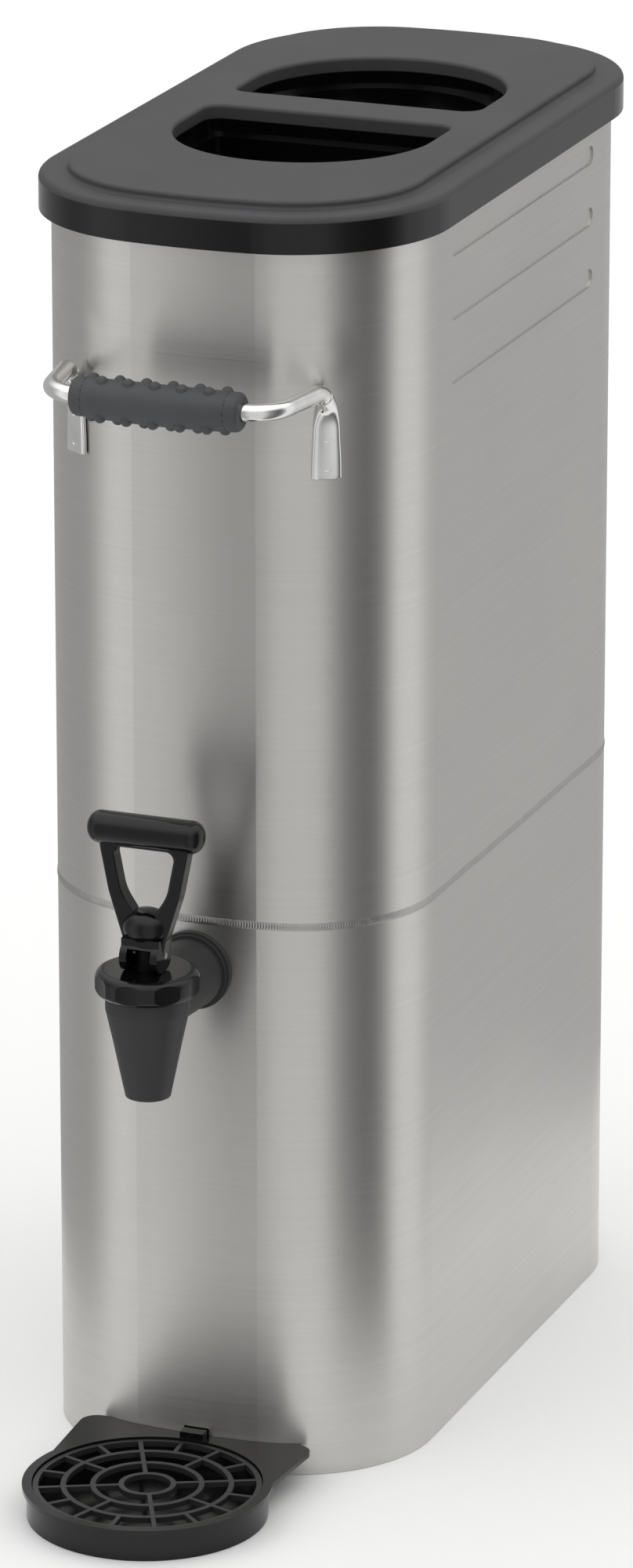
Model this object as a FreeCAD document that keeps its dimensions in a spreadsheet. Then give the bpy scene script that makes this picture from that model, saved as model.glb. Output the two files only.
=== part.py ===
import FreeCAD, Part
import math
import os
import Sketcher

# Slim gravity-fed cold-drink dispenser: a tall steel tank with a lift-off lid,
# two carrying handles, a self-closing tap and a clip-in drip tray.
# Millimetres. X to the right seen from the front, front faces -Y, Z up.
# The origin is the middle of the base plate's underside, on the counter.

doc = FreeCAD.newDocument("Dispenser")
sheet = doc.addObject("Spreadsheet::Sheet", "Sizes")
sub_parts = []

driving_sizes = [
    ("Tank shell", [
        ("bodyWidth", 175), ("bodyDepth", 350), ("cornerRadius", 65.8),
        ("bowRadius", 267), ("wall", 1),
        ("rimHeight", 577.5), ("beadHeight", 5.2), ("beadProud", 2.4),
        ("seamHeight", 259), ("weldHeight", 3), ("weldProud", 0.35),
        ("floorHeight", 218), ("floorFlange", 14), ("floorThickness", 1.2), ("floorWeld", 2),
        ("baseFlange", 12), ("baseThickness", 1.5)]),
    ("Side ribs", [
        ("ribLength", 185), ("ribHeight", 8.8), ("ribDepth", 0.8), ("ribPitch", 28.7),
        ("ribTop", 549.9), ("ribMiddle", 2.5)]),
    ("Lid", [
        ("lidOverhang", 5.5), ("lidWall", 2.5), ("lidSkirt", 16.5), ("lidPlateau", 3.6),
        ("plateauInset", 13), ("lidEdgeRadius", 3), ("lidRest", 0.1),
        ("wellWidth", 117), ("wellCorner", 8), ("wellDepth", 13.5), ("wellLedge", 5),
        ("wellDrop", 9), ("wellFront", -98.5), ("wellBack", 107), ("gripBar", 27),
        ("gripBarMiddle", 5.5), ("wellEdgeRadius", 1.8)]),
    ("Handles", [
        ("handleHeight", 503.5), ("handleReach", 38), ("rodDiameter", 7.8),
        ("handleSpan", 104), ("handleCorner", 14), ("dropRadius", 9), ("tabAngle", 33),
        ("tabWidth", 13), ("tabThickness", 3), ("tabDrop", 40),
        ("gripLength", 78), ("gripDiameter", 18.2), ("gripEndRadius", 3),
        ("bumpRadius", 2.7), ("bumpPitch", 12.2), ("bumpSink", 0.9)]),
    ("Tap", [
        ("tapHeight", 236), ("tapReach", 54), ("nozzleDrop", 40.3), ("nozzleDiameter", 20),
        ("coneDiameter", 30.4), ("coneDrop", 15), ("chamberOutside", 37),
        ("chamberBore", 26), ("outletBore", 12), ("seatDrop", 14), ("chamberRise", 13.5),
        ("barrelDiameter", 26), ("barrelRoot", 32), ("tapFlange", 34),
        ("tapFlangeThickness", 2.5),
        ("shankDiameter", 15.8), ("shankBore", 11), ("shankLength", 26), ("shankFit", 0.2),
        ("bonnetDiameter", 46), ("bonnetHeight", 11.5), ("bonnetRise", 6.5), ("bonnetTop", 3),
        ("bonnetBore", 24), ("threadFit", 0.05), ("scallopRadius", 90), ("scallopDepth", 1),
        ("bonnetRound", 4.1), ("outerWasher", 35.6), ("outerWasherThickness", 3),
        ("innerWasher", 30),
        ("innerWasherThickness", 2.5), ("nutAcross", 26), ("nutThickness", 8)]),
    ("Valve", [
        ("stemDiameter", 10.4), ("stemFit", 0.08), ("stemTip", 5), ("stemButton", 13),
        ("cupDiameter", 21.5), ("cupWall", 1.7), ("cupHeight", 14), ("cupFloor", 4),
        ("seatGap", 0.05), ("springWire", 1.1), ("springDiameter", 15.4), ("springTurns", 5)]),
    ("Lever", [
        ("forkCheek", 3.3), ("forkFit", 0.3), ("forkLip", 4.4), ("forkFront", 8.2),
        ("slotRoom", 0.5), ("camRadius", 6.5), ("camOffset", 4.5), ("camGap", 0.3),
        ("pinDiameter", 3.2), ("pinFit", 0.05),
        ("loopBottom", 18.2), ("loopFoot", 8.4), ("loopBelly", 28), ("loopWaist", 21.2),
        ("loopTop", 48.3), ("loopWidth", 29.2), ("loopArm", 6),
        ("loopDepth", 8.5), ("loopRound", 1.2), ("barRise", 55.5),
        ("barLength", 53.5), ("barDiameter", 14.6), ("bossRadius", 10.9), ("bossDepth", 9.8),
        ("bossHeight", 8.6), ("bossRise", 12.4)]),
    ("Drip tray", [
        ("trayReach", 58), ("trayDiameter", 107), ("trayRim", 111), ("trayHeight", 15),
        ("trayPlate", 2), ("trayFloor", 2), ("trayWing", 56),
        ("wingCorner", 8), ("wingStart", 26), ("trayGap", 0.5), ("clipWidth", 11),
        ("clipThickness", 3), ("clipReach", 6), ("slotGap", 0.5)]),
    ("Grate", [
        ("grateDiameter", 101.4), ("grateThickness", 2.5), ("grateSink", 1), ("grateGap", 0.5),
        ("ledgeWidth", 2.5), ("ringWidth", 2.4), ("hubRing", 23.2), ("middleRing", 48.2),
        ("outerRing", 74.4), ("spokeWidth", 2), ("spokeTurn", 26)]),
]


def fill_sheet():
    row = 1
    for heading, entries in driving_sizes:
        sheet.set("A%d" % row, heading)
        row += 1
        for alias, number in entries:
            sheet.set("A%d" % row, alias)
            sheet.set("B%d" % row, str(number))
            sheet.setAlias("B%d" % row, alias)
            row += 1
    doc.recompute()


def size(text):
    # The number that an expression over the sheet comes to; bare words are aliases.
    return float(sheet.evalExpression(bound(text)))


def bound(text):
    # Every alias word gets its sheet in front, so short expressions read as plain sums.
    words = []
    word = ""
    for letter in text + " ":
        if letter.isalpha():
            word += letter
            continue
        if word:
            words.append(word if word in ("sin", "cos", "sqrt") else "Sizes." + word)
            word = ""
        words.append(letter)
    return "".join(words).strip()


# Derived places that several pieces share.
frontFace = "-bodyDepth/2"
weldBottom = "seamHeight - weldHeight/2"
weldTop = "seamHeight + weldHeight/2"
lidUnder = "rimHeight + lidRest"
lidShoulder = lidUnder + " + lidWall"
lidBottom = lidShoulder + " - lidSkirt"
lidTop = lidShoulder + " + lidPlateau"
tapAxis = "-bodyDepth/2 - tapReach"
bonnetBottom = "tapHeight + bonnetRise"
bonnetUpper = "tapHeight + bonnetRise + bonnetHeight"
chamberTop = "tapHeight + chamberRise"
seatHeight = "tapHeight - seatDrop"
pinHeight = bonnetUpper + " + camRadius + camGap"
forkSlot = "(stemDiameter + 2*forkFit)"
forkWidth = "(" + forkSlot + " + 2*forkCheek)"
trayAxis = "-bodyDepth/2 - trayReach"
clipBottom = "trayHeight"


def plane(body, role):
    for feature in body.Origin.OriginFeatures:
        if feature.Role == role:
            return feature


def new_body(label):
    body = doc.addObject("PartDesign::Body", label)
    body.Label = label
    sub_parts.append(body)
    return body


def new_sketch(body, name, role, offset="0"):
    sketch = body.newObject("Sketcher::SketchObject", name)
    sketch.AttachmentSupport = [(plane(body, role), "")]
    sketch.MapMode = "FlatFace"
    sketch.setExpression("AttachmentOffset.Base.z", bound(offset))
    return sketch


def pin_point(sketch, index, end, across, up):
    # Holds one end of a line or arc at a place worked out from the sheet.
    for kind, text in (("DistanceX", across), ("DistanceY", up)):
        place = Sketcher.Constraint(kind, -1, 1, index, end, size(text))
        sketch.setExpression("Constraints[%d]" % sketch.addConstraint(place), bound(text))


def add_polygon(sketch, points):
    corners = [FreeCAD.Vector(size(across), size(up), 0) for across, up in points]
    first = sketch.GeometryCount
    count = len(corners)
    for number in range(count):
        line = Part.LineSegment(corners[number], corners[(number + 1) % count])
        sketch.addGeometry(line)
    for number in range(count):
        following = first + (number + 1) % count
        sketch.addConstraint(Sketcher.Constraint("Coincident", first + number, 2, following, 1))
        pin_point(sketch, first + number, 1, *points[number])


def add_circle(sketch, across, up, diameter):
    middle = FreeCAD.Vector(size(across), size(up), 0)
    up_axis = FreeCAD.Vector(0, 0, 1)
    index = sketch.addGeometry(Part.Circle(middle, up_axis, size(diameter) / 2))
    pin_point(sketch, index, 3, across, up)
    hold = sketch.addConstraint(Sketcher.Constraint("Diameter", index, size(diameter)))
    sketch.setExpression("Constraints[%d]" % hold, bound(diameter))


def add_rounded(sketch, low_x, high_x, low_y, high_y, radii):
    # A rectangle with tangent corner arcs; radii run anticlockwise from the low, low corner.
    left, right, low, high = (size(text) for text in (low_x, high_x, low_y, high_y))
    corners = [(left, low), (right, low), (right, high), (left, high)]
    inward = [(1, 1), (-1, 1), (-1, -1), (1, -1)]
    centres = []
    for corner, way, radius in zip(corners, inward, radii):
        reach = size(radius)
        centres.append((corner[0] + way[0] * reach, corner[1] + way[1] * reach, reach))
    first = sketch.GeometryCount
    for number in range(4):
        ahead = (number + 1) % 4
        along = ((0, -1), (1, 0), (0, 1), (-1, 0))[number]
        start = FreeCAD.Vector(centres[number][0] + along[0] * centres[number][2],
                               centres[number][1] + along[1] * centres[number][2], 0)
        end = FreeCAD.Vector(centres[ahead][0] + along[0] * centres[ahead][2],
                             centres[ahead][1] + along[1] * centres[ahead][2], 0)
        sketch.addGeometry(Part.LineSegment(start, end))
        circle = Part.Circle(FreeCAD.Vector(centres[ahead][0], centres[ahead][1], 0),
                             FreeCAD.Vector(0, 0, 1), centres[ahead][2])
        turn = math.atan2(along[1], along[0])
        sketch.addGeometry(Part.ArcOfCircle(circle, turn, turn + math.pi / 2))
    return first


def add_outline(sketch, grow):
    # The tank's plan outline, grown outward all round: flat sides, rounded corners,
    # and a front and back that bow out a little, all tangent to one another.
    half_x = "(bodyWidth/2 + %s)" % grow
    corner = "(cornerRadius + %s)" % grow
    bow = "(bowRadius + %s)" % grow
    first = draw_outline(sketch, size(half_x), size(corner), size(bow))
    for number in range(8):
        following = first + (number + 1) % 8
        tangent = Sketcher.Constraint("Tangent", first + number, 2, following, 1)
        sketch.addConstraint(tangent)
    for number in (0, 2, 4, 6):
        hold = sketch.addConstraint(Sketcher.Constraint("Radius", first + number + 1, size(corner)))
        sketch.setExpression("Constraints[%d]" % hold, bound(corner))
    for number, side in ((0, -1), (4, 1)):
        hold = sketch.addConstraint(Sketcher.Constraint("Radius", first + number, size(bow)))
        sketch.setExpression("Constraints[%d]" % hold, bound(bow))
        pin_point(sketch, first + number, 3, "0", "%d*(bodyDepth/2 - bowRadius)" % side)
    for number, side in ((2, 1), (6, -1)):
        sketch.addConstraint(Sketcher.Constraint("Vertical", first + number))
        text = "%d*%s" % (side, half_x)
        place = Sketcher.Constraint("DistanceX", -1, 1, first + number, 1, size(text))
        sketch.setExpression("Constraints[%d]" % sketch.addConstraint(place), bound(text))


def draw_outline(sketch, half_x, corner, bow):
    # Anticlockwise from the front: bow, corner, side, corner, back bow, and so on round.
    bow_y = size("bowRadius - bodyDepth/2")
    corner_x = half_x - corner
    corner_y = bow_y - math.sqrt((bow - corner) ** 2 - corner_x ** 2)
    lean = math.asin(corner_x / (bow - corner))
    quarter = math.pi / 2
    first = sketch.GeometryCount
    for turn in (0, 2):
        flip = 1 if turn == 0 else -1
        add_arc(sketch, 0, flip * bow_y, bow, (turn + 3) * quarter - lean,
                (turn + 3) * quarter + lean)
        add_arc(sketch, flip * corner_x, flip * corner_y, corner,
                (turn + 3) * quarter + lean, (turn + 4) * quarter)
        start = FreeCAD.Vector(flip * half_x, flip * corner_y, 0)
        end = FreeCAD.Vector(flip * half_x, -flip * corner_y, 0)
        sketch.addGeometry(Part.LineSegment(start, end))
        add_arc(sketch, flip * corner_x, -flip * corner_y, corner, turn * quarter,
                (turn + 1) * quarter - lean)
    return first


def add_arc(sketch, across, up, radius, start, end):
    middle = FreeCAD.Vector(across, up, 0)
    circle = Part.Circle(middle, FreeCAD.Vector(0, 0, 1), radius)
    sketch.addGeometry(Part.ArcOfCircle(circle, start, end))


def add_tangent_box(sketch, low_x, high_x, low_y, high_y, radii):
    edges = (low_y, high_x, high_y, low_x)
    ends = add_box_lines(sketch, low_x, high_x, low_y, high_y, radii)
    for number, (line, arc, following) in enumerate(ends):
        sketch.addConstraint(Sketcher.Constraint("Tangent", line, 2, arc, 1))
        sketch.addConstraint(Sketcher.Constraint("Tangent", arc, 2, following, 1))
        radius = radii[(number + 1) % 4]
        hold = sketch.addConstraint(Sketcher.Constraint("Radius", arc, size(radius)))
        sketch.setExpression("Constraints[%d]" % hold, bound(radius))
        level = number % 2 == 0
        sketch.addConstraint(Sketcher.Constraint("Horizontal" if level else "Vertical", line))
        kind = "DistanceY" if level else "DistanceX"
        place = Sketcher.Constraint(kind, -1, 1, line, 1, size(edges[number]))
        hold = sketch.addConstraint(place)
        sketch.setExpression("Constraints[%d]" % hold, bound(edges[number]))


def add_box_lines(sketch, low_x, high_x, low_y, high_y, radii):
    first = add_rounded(sketch, low_x, high_x, low_y, high_y, radii)
    return [(first + 2 * n, first + 2 * n + 1, first + (2 * n + 2) % 8) for n in range(4)]


def pad(body, sketch, length, backward=False):
    feature = body.newObject("PartDesign::Pad", sketch.Name + "Pad")
    feature.Profile = sketch
    feature.setExpression("Length", bound(length))
    feature.Reversed = backward
    return settle(body, feature, sketch, adds=True)


def pocket(body, sketch, length, backward=False):
    feature = body.newObject("PartDesign::Pocket", sketch.Name + "Pocket")
    feature.Profile = sketch
    feature.setExpression("Length", bound(length))
    feature.Reversed = backward
    return settle(body, feature, sketch, adds=False)


def revolve(body, sketch, axis="V_Axis", cut=False):
    kind = "Groove" if cut else "Revolution"
    feature = body.newObject("PartDesign::" + kind, sketch.Name + kind)
    feature.Profile = sketch
    feature.ReferenceAxis = (sketch, [axis])
    feature.Angle = 360
    return settle(body, feature, sketch, adds=not cut)


def settle(body, feature, sketch, adds):
    # Rebuilds, and stops if a feature failed or changed the volume the wrong way.
    before = feature.BaseFeature.Shape.Volume if feature.BaseFeature else 0
    sketch.Visibility = False
    doc.recompute()
    change = feature.Shape.Volume - before
    if not feature.isValid() or (change <= 0) == adds:
        raise RuntimeError("%s in %s did not build" % (feature.Name, body.Label))
    return feature


def round_edges(body, radius, wanted, chamfer=False):
    # Fillets every edge of the body's last feature that the test function picks.
    base = body.Tip
    picked = [name_edge for name_edge in named_edges(base.Shape) if wanted(name_edge[1])]
    kind = "Chamfer" if chamfer else "Fillet"
    feature = body.newObject("PartDesign::" + kind, "Round")
    feature.Base = (base, [name for name, edge in picked])
    feature.setExpression("Size" if chamfer else "Radius", bound(radius))
    doc.recompute()
    if not feature.isValid():
        raise RuntimeError("rounding in %s did not build" % body.Label)
    return feature


def named_edges(shape):
    return [("Edge%d" % (number + 1), edge) for number, edge in enumerate(shape.Edges)]


def level_at(height, reach=1e9, inside=0.0):
    # Picks edges that lie flat at one height and stay within a span of the Z axis.
    def wanted(edge):
        box = edge.BoundBox
        flat = abs(box.ZMin - height) < 0.01 and abs(box.ZMax - height) < 0.01
        far = max(abs(box.XMin), abs(box.XMax), abs(box.YMin), abs(box.YMax))
        return flat and inside < far < reach
    return wanted


def shell_ring(body, name, bottom, top, outside, inside):
    sketch = new_sketch(body, name, "XY_Plane", bottom)
    add_outline(sketch, outside)
    add_outline(sketch, inside)
    return pad(body, sketch, "%s - (%s)" % (top, bottom))


def add_ribs(sketch):
    for number in range(3):
        middle = "(ribTop - %d*ribPitch)" % number
        add_tangent_box(sketch, "ribMiddle - ribLength/2", "ribMiddle + ribLength/2",
                        middle + " - ribHeight/2", middle + " + ribHeight/2",
                        ["ribHeight*0.499"] * 4)


def upper_shell():
    body = new_body("upper_shell")
    shell_ring(body, "UpperWall", weldTop, "rimHeight", "0", "(-wall)")
    shell_ring(body, "RimBead", "rimHeight - beadHeight", "rimHeight", "beadProud", "(-wall)")
    top = size("rimHeight")
    outer = size("bodyWidth/2 + beadProud")
    round_edges(body, "beadHeight*0.45", lambda edge: on_outline(edge, outer, top - 5.3, top))
    inner_side = new_sketch(body, "RibBacks", "YZ_Plane", "bodyWidth/2 - wall")
    add_ribs(inner_side)
    backs = pad(body, inner_side, "ribDepth", backward=True)
    outer_side = new_sketch(body, "RibGrooves", "YZ_Plane", "bodyWidth/2")
    add_ribs(outer_side)
    grooves = pocket(body, outer_side, "ribDepth")
    mirror = body.newObject("PartDesign::Mirrored", "OtherSide")
    mirror.Originals = [backs, grooves]
    mirror.MirrorPlane = (plane(body, "YZ_Plane"), [""])
    body.Tip = mirror


def on_outline(edge, half_width, low, high):
    # True for level edges of a tank outline whose straight sides are at the half width.
    box = edge.BoundBox
    flat = box.ZMax - box.ZMin < 0.01 and low < box.ZMin < high + 0.01
    half_depth = half_width + size("bodyDepth/2 - bodyWidth/2")
    reach_x = max(abs(box.XMin), abs(box.XMax))
    reach_y = max(abs(box.YMin), abs(box.YMax))
    return flat and (abs(reach_x - half_width) < 0.02 or abs(reach_y - half_depth) < 0.02)


def lower_shell():
    body = new_body("lower_shell")
    shell_ring(body, "LowerWall", "0", weldBottom, "0", "(-wall)")
    tap_hole = new_sketch(body, "TapHole", "XZ_Plane", "bodyDepth/2 + wall")
    add_circle(tap_hole, "0", "tapHeight", "shankDiameter + 2*shankFit")
    pocket(body, tap_hole, "4*wall")
    slot = new_sketch(body, "TraySlot", "XZ_Plane", "bodyDepth/2 + wall")
    add_tangent_box(slot, "-clipWidth/2 - slotGap", "clipWidth/2 + slotGap",
                    clipBottom + " - slotGap", clipBottom + " + clipThickness + slotGap",
                    ["slotGap"] * 4)
    pocket(body, slot, "4*wall")


def shell_weld():
    body = new_body("shell_weld")
    shell_ring(body, "Weld", weldBottom, weldTop, "weldProud", "(-wall - weldProud)")
    low = size(weldBottom)
    high = size(weldTop)
    outer = size("bodyWidth/2 + weldProud")
    round_edges(body, "weldProud*0.9", lambda edge: on_outline(edge, outer, low - 1, high))


def tank_floor():
    body = new_body("tank_floor")
    block = new_sketch(body, "FloorPan", "XY_Plane", "floorHeight - floorFlange")
    add_outline(block, "(-wall)")
    pad(body, block, "floorFlange")
    hollow = new_sketch(body, "FloorUnder", "XY_Plane", "floorHeight - floorFlange")
    add_outline(hollow, "(-wall - floorThickness)")
    pocket(body, hollow, "floorFlange - floorThickness", backward=True)


def floor_weld():
    body = new_body("floor_weld")
    shell_ring(body, "FloorBead", "floorHeight", "floorHeight + floorWeld",
               "(-wall)", "(-wall - floorWeld)")
    top = size("floorHeight + floorWeld")
    inner = size("bodyWidth/2 - wall - floorWeld")
    round_edges(body, "floorWeld*0.9", lambda edge: on_outline(edge, inner, top - 0.5, top),
                chamfer=True)


def base_plate():
    body = new_body("base_plate")
    block = new_sketch(body, "BasePan", "XY_Plane")
    add_outline(block, "(-wall)")
    pad(body, block, "baseFlange")
    hollow = new_sketch(body, "BaseInside", "XY_Plane", "baseThickness")
    add_outline(hollow, "(-wall - baseThickness)")
    pocket(body, hollow, "baseFlange", backward=True)


def add_wells(sketch, grow):
    # Two D-shaped wells with the grip bar between them, grown outward by an amount.
    half = "(wellWidth/2 + %s)" % grow
    round_end = "(wellWidth/2 + %s - 0.01)" % grow
    corner = "wellCorner + %s" % grow
    bar_front = "(gripBarMiddle - gripBar/2 + %s)" % grow
    bar_back = "(gripBarMiddle + gripBar/2 - %s)" % grow
    add_tangent_box(sketch, "-" + half, half, "(wellFront - %s)" % grow, bar_front,
                    [round_end, round_end, corner, corner])
    add_tangent_box(sketch, "-" + half, half, bar_back, "(wellBack + %s)" % grow,
                    [corner, corner, round_end, round_end])


def lid():
    body = new_body("lid")
    skirt = new_sketch(body, "Skirt", "XY_Plane", lidBottom)
    add_outline(skirt, "lidOverhang")
    pad(body, skirt, "lidSkirt")
    plateau = new_sketch(body, "Plateau", "XY_Plane", lidShoulder)
    add_outline(plateau, "(lidOverhang - plateauInset)")
    pad(body, plateau, "lidPlateau")
    under = new_sketch(body, "Underside", "XY_Plane", lidBottom)
    add_outline(under, "(lidOverhang - lidWall)")
    pocket(body, under, "lidSkirt - lidWall", backward=True)
    inner = new_sketch(body, "PlateauUnderside", "XY_Plane", lidShoulder + " - lidWall - 0.01")
    add_outline(inner, "(lidOverhang - plateauInset - lidWall)")
    pocket(body, inner, "lidPlateau + 0.01", backward=True)
    well_shapes(body)
    shoulder = size(lidShoulder)
    outer = size("bodyWidth/2 + lidOverhang")
    step = size("bodyWidth/2 + lidOverhang - plateauInset")
    top = size(lidTop)
    round_edges(body, "lidEdgeRadius",
                lambda edge: on_outline(edge, outer, shoulder - 0.1, shoulder))
    round_edges(body, "lidPlateau*0.45", lambda edge: on_outline(edge, step, top - 0.1, top))
    round_edges(body, "lidPlateau*0.45",
                lambda edge: on_outline(edge, step, shoulder - 0.1, shoulder))
    round_edges(body, "wellEdgeRadius", level_at(top, reach=size("wellBack") + 1))


def well_shapes(body):
    outside = new_sketch(body, "WellWalls", "XY_Plane", lidTop + " - wellDepth - lidWall")
    add_wells(outside, "lidWall")
    pad(body, outside, "wellDepth + lidWall*0.5")
    deep = new_sketch(body, "DeepWalls", "XY_Plane", lidTop + " - wellDepth - wellDrop - lidWall")
    add_wells(deep, "(lidWall - wellLedge)")
    pad(body, deep, "wellDrop + lidWall")
    mouth = new_sketch(body, "WellMouths", "XY_Plane", lidTop)
    add_wells(mouth, "0")
    pocket(body, mouth, "wellDepth")
    drop = new_sketch(body, "WellDrops", "XY_Plane", lidTop + " - wellDepth")
    add_wells(drop, "(-wellLedge)")
    pocket(body, drop, "wellDrop")


def tube_path(points, radii):
    # A wire through the points, with each middle corner turned by a tangent arc.
    edges = []
    start = points[0]
    for before, corner, after, radius in zip(points, points[1:], points[2:], radii):
        back = (before - corner).normalize()
        ahead = (after - corner).normalize()
        half = back.getAngle(ahead) / 2
        reach = radius / math.tan(half)
        middle = (back + ahead).normalize() * (radius / math.sin(half) - radius)
        arc_start = corner + back * reach
        arc_end = corner + ahead * reach
        edges.append(Part.makeLine(start, arc_start))
        edges.append(Part.Arc(arc_start, corner + middle, arc_end).toShape())
        start = arc_end
    edges.append(Part.makeLine(start, points[-1]))
    return Part.Wire(edges)


def flat_oval(centre, across, outward, width, thickness):
    # A stadium wire, long way along across, with round ends.
    radius = thickness / 2
    run = width / 2 - radius
    left = centre - across * run
    right = centre + across * run
    rise = outward * radius
    tip = across * radius
    edges = [Part.makeLine(left + rise, right + rise),
             Part.Arc(right + rise, right + tip, right - rise).toShape(),
             Part.makeLine(right - rise, left - rise),
             Part.Arc(left - rise, left - tip, left + rise).toShape()]
    return Part.Wire(edges)


def handle_tab(side):
    # One flattened rod end, lying on the tank's rounded corner.
    turn = math.radians(size("tabAngle"))
    outward = FreeCAD.Vector(side * math.sin(turn), -math.cos(turn), 0)
    across = FreeCAD.Vector(math.cos(turn), side * math.sin(turn), 0)
    corner_x = size("bodyWidth/2 - cornerRadius")
    bow_y = size("bowRadius - bodyDepth/2")
    corner_y = bow_y - math.sqrt(size("bowRadius - cornerRadius") ** 2 - corner_x ** 2)
    centre = FreeCAD.Vector(side * corner_x, corner_y, 0)
    wall = centre + outward * size("cornerRadius")
    rod = size("rodDiameter")
    thick = size("tabThickness")
    height = size("handleHeight")
    heights = (height - size("dropRadius"), height - 2.5 * rod, height - size("tabDrop"))
    rises = (rod / 2, thick / 2 - 0.25, thick / 2 - 0.25)
    widths = (rod * 1.02, size("tabWidth"), size("tabWidth"))
    thicks = (rod * 0.98, thick, thick)
    wires = []
    for level, rise, width, thickness in zip(heights, rises, widths, thicks):
        place = wall + outward * rise + FreeCAD.Vector(0, 0, level)
        wires.append(flat_oval(place, across, outward, width, thickness))
    top = Part.makeLoft(wires[:2], True, True)
    bottom = Part.makeLoft(wires[1:], True, True)
    foot = wall + outward * (rod / 2)
    return top.fuse(bottom), foot


def rod_shape():
    left_tab, left_foot = handle_tab(-1)
    right_tab, right_foot = handle_tab(1)
    height = size("handleHeight")
    low = FreeCAD.Vector(0, 0, height - size("dropRadius") - size("rodDiameter/4"))
    level = FreeCAD.Vector(0, 0, height)
    front = size("-bodyDepth/2 - handleReach")
    half = size("handleSpan/2")
    points = [left_foot + low, left_foot + level, FreeCAD.Vector(-half, front, height),
              FreeCAD.Vector(half, front, height), right_foot + level, right_foot + low]
    drop = size("dropRadius")
    corner = size("handleCorner")
    path = tube_path(points, [drop, corner, corner, drop])
    ring = Part.Wire(Part.makeCircle(size("rodDiameter/2"), points[0], FreeCAD.Vector(0, 0, 1)))
    rod = path.makePipeShell([ring], True, True)
    shape = rod.fuse([left_tab, right_tab])
    tank = doc.getObject("TankEnvelope").Shape
    return shape.cut(tank).removeSplitter()


def tank_envelope():
    # The plain outside of the tank, used to seat what lies against its wall.
    body = doc.addObject("PartDesign::Body", "TankEnvelope")
    outline = new_sketch(body, "Envelope", "XY_Plane")
    add_outline(outline, "0")
    pad(body, outline, "rimHeight")


def turned(shape, half_turns):
    copy = shape.copy()
    copy.rotate(FreeCAD.Vector(0, 0, 0), FreeCAD.Vector(0, 0, 1), 180 * half_turns)
    return copy


def handle_rods():
    shape = rod_shape()
    for half_turns, label in enumerate(("front_handle_rod", "rear_handle_rod")):
        rod = doc.addObject("Part::Feature", label)
        rod.Label = label
        rod.Shape = turned(shape, half_turns)
        sub_parts.append(rod)


def handle_grip(label, half_turns):
    body = new_body(label)
    sleeve = new_sketch(body, label + "Sleeve", "XZ_Plane")
    half = "gripLength/2"
    add_polygon(sleeve, [("-" + half, "rodDiameter/2"), (half, "rodDiameter/2"),
                         (half, "gripDiameter/2"), ("-" + half, "gripDiameter/2")])
    revolve(body, sleeve, axis="H_Axis")
    outer = size("gripDiameter/2")
    end = size("gripLength/2")
    round_edges(body, "gripEndRadius", lambda edge: is_end_ring(edge, end, outer))
    for number, (angle, count) in enumerate(((80, 5), (117, 6), (-58, 5), (-95, 6))):
        bump_row(body, "%sBumps%d" % (label, number), sleeve, angle, count)
    side = 1 if half_turns else -1
    turn = FreeCAD.Rotation(FreeCAD.Vector(0, 0, 1), 180 * half_turns)
    place = FreeCAD.Vector(0, side * size("bodyDepth/2 + handleReach"), size("handleHeight"))
    body.Placement = FreeCAD.Placement(place, turn)
    body.setExpression("Placement.Base.y", bound("%d*(bodyDepth/2 + handleReach)" % side))
    body.setExpression("Placement.Base.z", bound("handleHeight"))


def is_end_ring(edge, end, radius):
    box = edge.BoundBox
    at_end = abs(abs(box.XMin) - end) < 0.01 and box.XLength < 0.01
    return at_end and abs(box.ZMax - radius) < 0.01


def bump_row(body, name, sleeve, angle, count):
    bump = body.newObject("PartDesign::AdditiveSphere", name)
    bump.setExpression("Radius", bound("bumpRadius"))
    lift = "(gripDiameter/2 - bumpSink)"
    bump.setExpression("Placement.Base.x", bound("-bumpPitch*%.1f" % ((count - 1) / 2)))
    rise = math.sin(math.radians(angle))
    out = -math.cos(math.radians(angle))
    bump.setExpression("Placement.Base.y", bound("%s*%.5f" % (lift, out)))
    bump.setExpression("Placement.Base.z", bound("%s*%.5f" % (lift, rise)))
    doc.recompute()
    pattern = body.newObject("PartDesign::LinearPattern", name + "Row")
    pattern.Originals = [bump]
    pattern.Direction = (sleeve, ["H_Axis"])
    pattern.Occurrences = count
    pattern.setExpression("Length", bound("bumpPitch*%d" % (count - 1)))
    body.Tip = pattern


def at_tap(body, height="0"):
    # Tap pieces are drawn about their own upright axis and set in front of the tank.
    body.Placement.Base = FreeCAD.Vector(0, size(tapAxis), size(height))
    body.setExpression("Placement.Base.y", bound(tapAxis))
    body.setExpression("Placement.Base.z", bound(height))


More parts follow.
